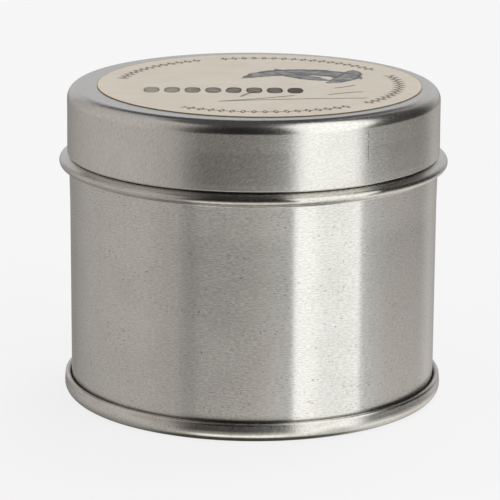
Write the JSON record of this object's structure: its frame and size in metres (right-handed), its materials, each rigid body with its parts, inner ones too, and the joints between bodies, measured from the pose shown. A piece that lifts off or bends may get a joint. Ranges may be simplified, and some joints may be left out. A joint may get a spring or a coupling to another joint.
{
  "type": "watercolor pan tin",
  "caption": "Round slip-lid tinplate tin with a double-seamed base, a rolled bead, a paper label on the lid and a poured pan of water-soluble graphite inside.",
  "frame": {"origin": "centre of the ring that the tin stands on", "axes": "+Z is the tin's axis, up through the lid; the wall's side weld faces +Y, and the label is stuck on a little towards +X"},
  "size_m": [0.0634, 0.0634, 0.051],
  "materials": {
    "tinplate_wall": "satin",
    "tinplate_base": "satin",
    "tinplate_lid": "satin",
    "sealing_compound": "matte",
    "graphite": "satin",
    "label_paper": "matte"
  },
  "bodies": {
    "tin": {"tin_wall": "tinplate_wall", "base_disc": "tinplate_base", "seam_compound": "sealing_compound", "graphite_cake": "graphite"},
    "lid": {"lid_shell": "tinplate_lid", "lid_label": "label_paper"}
  },
  "joints": [
    {"name": "lid_lift", "type": "slide", "parent": "tin", "child": "lid", "axis": [0, 0, 1], "range_m": [0, 0.06]}
  ]
}
